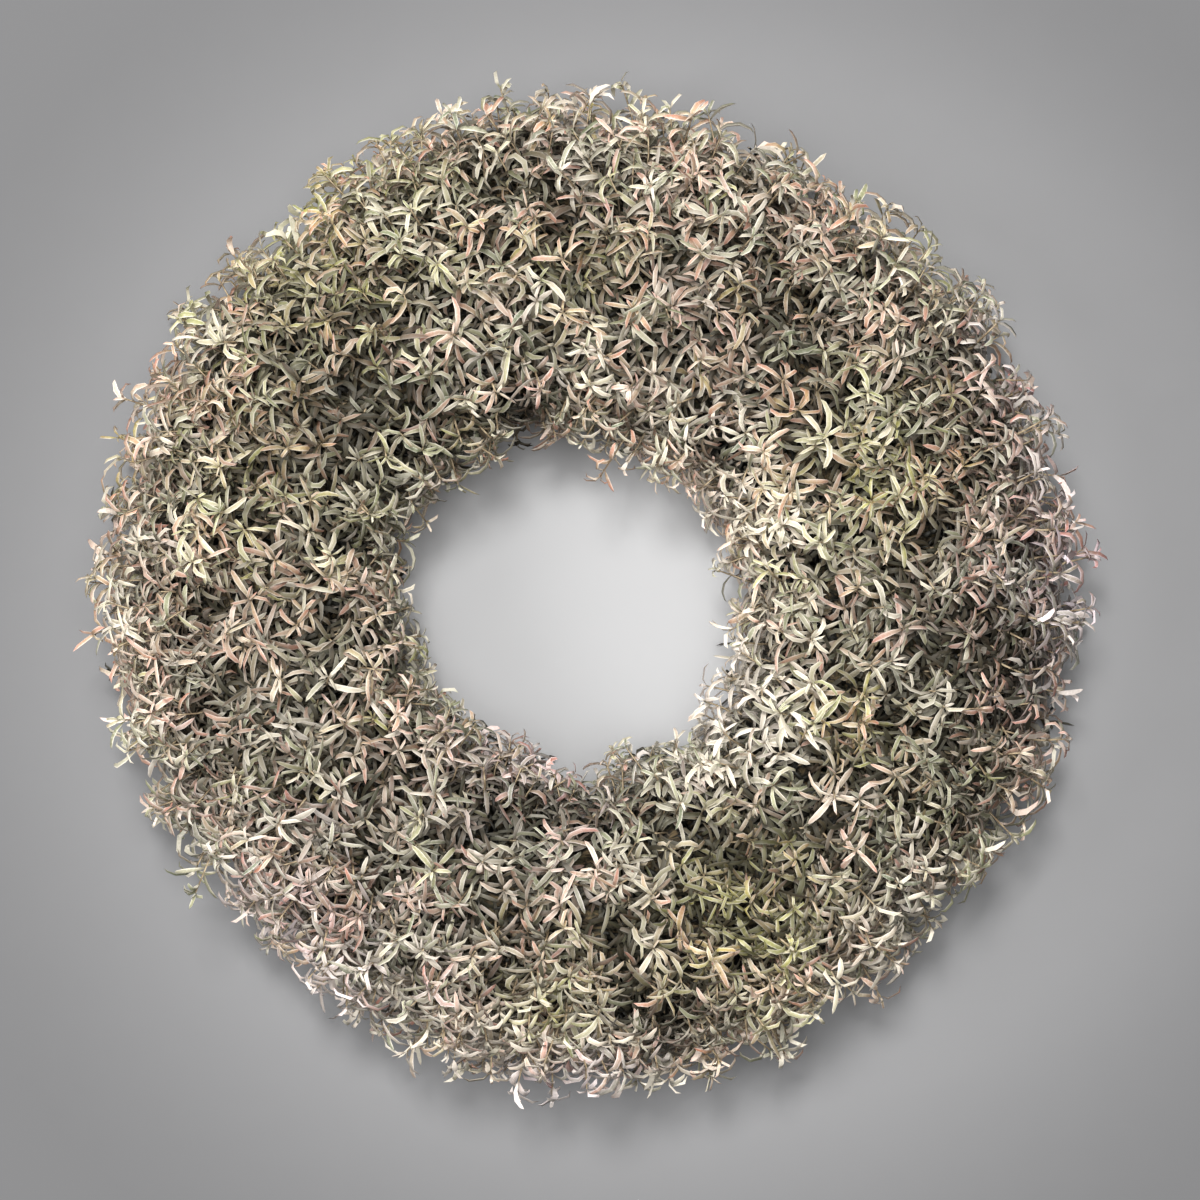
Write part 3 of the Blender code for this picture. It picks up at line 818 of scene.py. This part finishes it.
def sharpMargins(piece, place):
    # the edges along the leaves' margins, from root to tip, keep the shading of the two faces apart
    ends = np.empty(len(piece.data.edges) * 2, np.int32)
    piece.data.edges.foreach_get("vertices", ends)
    along, across, _, kind = place[ends].reshape(-1, 2, 4).transpose(2, 0, 1)
    margin = (across > 0.99) | (along == 0) | (along == 1)
    sharp = margin.all(1) & (kind < 0.1).all(1) & (along[:, 0] != along[:, 1])
    layer = piece.data.attributes.new("sharp_edge", "BOOLEAN", "EDGE")
    layer.data.foreach_set("value", sharp)


def thymeBunch(index, material, coreMaterial):
    # one mesh: the leafy sprigs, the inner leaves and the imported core
    draw = np.random.default_rng(wreath["seed"] * 100 + index)
    start, middle, tip, foot, outward, scale = sprigPaths(index, draw)
    upper, lower = sprigLeaves(draw, start, middle, tip, foot, outward, scale)
    stems = stemTubes(start, middle, tip)
    inner = innerLeaves(index, draw)
    core, coreFaces = packedCore(index, draw)
    none = np.zeros((len(core), 4))
    parts = [upper, lower, stems, inner, (core, coreFaces, none, none)]
    starts = np.cumsum([0] + [len(part[0]) for part in parts])
    faces = [group + start for part, start in zip(parts, starts) for group in part[1]]
    points, looksOfAll, places = (np.concatenate([part[column] for part in parts]) for column in (0, 2, 3))
    piece = meshPiece(f"thymeBunch{index + 1:02d}", points, faces, material,
                      attributes={"leafLook": looksOfAll, "leafPlace": places})
    places[-len(core):, 3] = 1  # so that no edge of the core counts as a leaf's margin
    sharpMargins(piece, places)
    piece.data.materials.append(coreMaterial)
    inCore = np.zeros(len(piece.data.polygons), np.int32)
    inCore[-sum(len(group) for group in coreFaces):] = 1
    piece.data.polygons.foreach_set("material_index", inCore)
    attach(piece, "root")
    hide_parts(f"thyme_bunch_{index + 1:02d}")
    return piece


straw = {
    "halfWidth": 20 * mm,
    "middleHeight": 22 * mm,
    "backHeight": 3.1 * mm,
    "around": 168,
    "section": 56,
    "strands": 40,
    "shift": 3,  # straws that they move round the section in going round the wreath once
    # their wander: its size in straws, its waves round the wreath and the section, and where these start
    "wander": [(0.7, 3, 0, 1.0), (0.36, 11, 2, 0), (0.2, 23, 5, 0)],
    "stretches": 5,  # a straw's number changes this often in each radian
    "ridge": 0.9 * mm,
    "backRidge": 0.6,  # of that, where the back is pressed flat
    "uneven": 0.6 * mm,
}


def strawRing(material):
    # a round section cut level at the back, carried round the wreath, with ridges of straw that wander
    ringAngles = np.linspace(0, 2 * math.pi, straw["around"], endpoint=False)[:, None]
    leans = np.linspace(-math.pi, math.pi, straw["section"], endpoint=False)[None, :]
    wander = sum(size * np.sin(ringWaves * ringAngles + sectionWaves * leans + start)
                 for size, ringWaves, sectionWaves, start in straw["wander"])
    phase = straw["strands"] * (leans / (2 * math.pi)) + wander + ringAngles * straw["shift"] / (2 * math.pi)
    within = np.abs(np.mod(phase, 1) - 0.5) * 2  # 0 in the middle of a straw, 1 between two
    strand = np.mod(np.floor(phase), straw["strands"])
    stretch = np.floor(ringAngles * straw["stretches"] + strand * 0.37)
    own = np.mod(np.sin(strand * 12.9898 + stretch * 78.233) * 43758.5453, 1)  # scattered from 0 to 1
    radius = straw["halfWidth"] - straw["ridge"] * within ** 2 - straw["uneven"] * own
    back = straw["backHeight"] + straw["ridge"] * straw["backRidge"] * within ** 2
    height = np.maximum(straw["middleHeight"] + radius * np.cos(leans), back)
    points = roundMiddle(ringAngles, wreath["ringRadius"] + radius * np.sin(leans), height)
    look = np.stack([own, within, np.zeros_like(own), np.ones_like(own)], axis=-1)
    faces = gridFaces(straw["around"], straw["section"], True, True)[:, ::-1]
    piece = meshPiece("strawRing", points.reshape(-1, 3), [faces], material,
                      attributes={"strandLook": look.reshape(-1, 4)})
    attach(piece, "root")
    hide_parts("straw_ring")
    return piece


binding = {
    "radius": 0.6 * mm,
    "clearance": 0.5 * mm,
    "stepsPerTurn": 28,
    "sides": 8,
    "backLeans": (125, 55),  # degrees at which it begins to cross, and how many more until it is half way
}


def bindingWire(material):
    # lean runs from -180 to 180 degrees in each turn; the wire stays between two bunches, and crosses to the
    # next gap over the back
    steps = binding["stepsPerTurn"] * wreath["bunches"]
    turns = np.arange(steps) / binding["stepsPerTurn"]
    lean = (np.mod(turns, 1) - 0.5) * 2 * math.pi
    across = rising(np.abs(lean), *np.radians(binding["backLeans"]))
    angle = bunchAngle * (np.floor(turns) + 0.5 + np.sign(lean) * 0.5 * across)
    far = straw["halfWidth"] + binding["radius"] + binding["clearance"]
    back = straw["backHeight"] - binding["clearance"] - binding["radius"]
    height = np.maximum(straw["middleHeight"] + far * np.cos(lean), back)
    radius = wreath["ringRadius"] + far * np.sin(lean)
    path = roundMiddle(angle, radius, height)
    ahead = unit(np.roll(path, -1, axis=0) - np.roll(path, 1, axis=0))
    away = unit(path - roundMiddle(angle, wreath["ringRadius"], straw["middleHeight"]))
    beside = unit(np.cross(ahead, away))
    away = np.cross(beside, ahead)
    turn = np.linspace(0, 2 * math.pi, binding["sides"], endpoint=False)
    ring = away[:, None] * np.cos(turn)[:, None] + beside[:, None] * np.sin(turn)[:, None]
    points = path[:, None] + ring * binding["radius"]
    faces = gridFaces(steps, binding["sides"], True, True)
    piece = meshPiece("bindingWire", points.reshape(-1, 3), [faces], material)
    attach(piece, "root")
    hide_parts("binding_wire")
    return piece


studio = {
    "cameraAt": (0.8 * mm, -4.9 * mm, 1650 * mm),
    "sensor": 36,  # mm
    "across": 473 * mm,  # what the frame shows at the height of the leaf tips' outline
    "outlineHeight": 45 * mm,
    # each light's bearing from +X and height in degrees, distance, size, power and tone
    "lights": {
        "key": (103, 66, 4.0, 1.0, 160.0, (1.0, 0.995, 0.985)),
        "side": (182, 44, 4.0, 1.6, 84.0, (1.0, 1.0, 1.0)),
        "top": (90, 88, 4.0, 3.0, 148.0, (1.0, 1.0, 1.0)),
    },
    "room": 0.06,
}


def studioScene():
    # camera straight above the wreath, lights by bearing and height, and a dim even room
    scene = bpy.context.scene
    camera = bpy.data.objects.new("camera", bpy.data.cameras.new("camera"))
    camera.location = studio["cameraAt"]
    camera.data.sensor_width = studio["sensor"]
    camera.data.lens = studio["sensor"] * (studio["cameraAt"][2] - studio["outlineHeight"]) / studio["across"]
    scene.collection.objects.link(camera)
    scene.camera = camera

    for name, (bearing, height, distance, size, power, tone) in studio["lights"].items():
        light = bpy.data.objects.new(name, bpy.data.lights.new(name, "AREA"))
        light.data.shape = "DISK"
        light.data.size = size
        light.data.energy = power
        light.data.color = tone
        bearing, height = math.radians(bearing), math.radians(height)
        level = math.cos(height)
        way = Vector((level * math.cos(bearing), level * math.sin(bearing), math.sin(height)))
        light.location = way * distance
        light.rotation_euler = way.to_track_quat("Z", "Y").to_euler()
        scene.collection.objects.link(light)

    world = bpy.data.worlds.new("room")
    world.use_nodes = True
    background = world.node_tree.nodes["Background"]
    background.inputs["Color"].default_value = (1, 1, 1, 1)
    background.inputs["Strength"].default_value = studio["room"]
    scene.world = world
    scene.view_settings.view_transform = "Standard"


sheet = {
    "reach": 3.0,  # from its middle to its edges
    "lines": 5,  # of points, each way
    # the sheet carries a painted pool of light: palest at this middle, fading to the dark tone
    "palest": (0.021, -0.013, 0.0),  # the place in metres where the sheet is palest
    "fade": 0.335,  # how far from there it is darkest
    "pale": srgb(157, 157, 158),
    "dark": srgb(97, 97, 98),
    "grain": 0.02,
    "grainScale": 60.0,
}


def floorMaterial():
    # grey with a painted pool of light: darker by a smooth step of the distance from its middle, the palest
    # place, and by a little noise
    material, shader, make = newMaterial("sheetWithPaintedLightPool", roughness=0.9)
    coords = make.node("ShaderNodeTexCoord", output=3)
    away = make.node("ShaderNodeVectorMath", {"operation": "DISTANCE"}, 1, i0=coords, i1=sheet["palest"])
    grain = make.noise(coords, sheet["grainScale"], 2.0)
    # the painted pool of light fades out with the distance from its middle
    darkness = away.between(0.0, sheet["fade"]) + grain * sheet["grain"]
    feed(shader, "Base Color", darkness.mixed(sheet["pale"], sheet["dark"]))
    return material


def floorSheet():
    # a square sheet of a few faces under the wreath
    edge = np.linspace(-sheet["reach"], sheet["reach"], sheet["lines"])
    x, y = np.meshgrid(edge, edge)
    points = np.stack([x.ravel(), y.ravel(), 0 * x.ravel()], axis=-1)
    faces = gridFaces(sheet["lines"], sheet["lines"])
    meshPiece("floor", points, [faces], floorMaterial(), smooth=False)


thyme = thymeMaterial()
packedStems = packedMaterial()
for bunch in range(wreath["bunches"]):
    thymeBunch(bunch, thyme, packedStems)
print("thyme bunches made")
strawRing(strawMaterial())
bindingWire(wireMaterial())
print("straw ring and wire made")
floorSheet()
studioScene()
print("studio set")
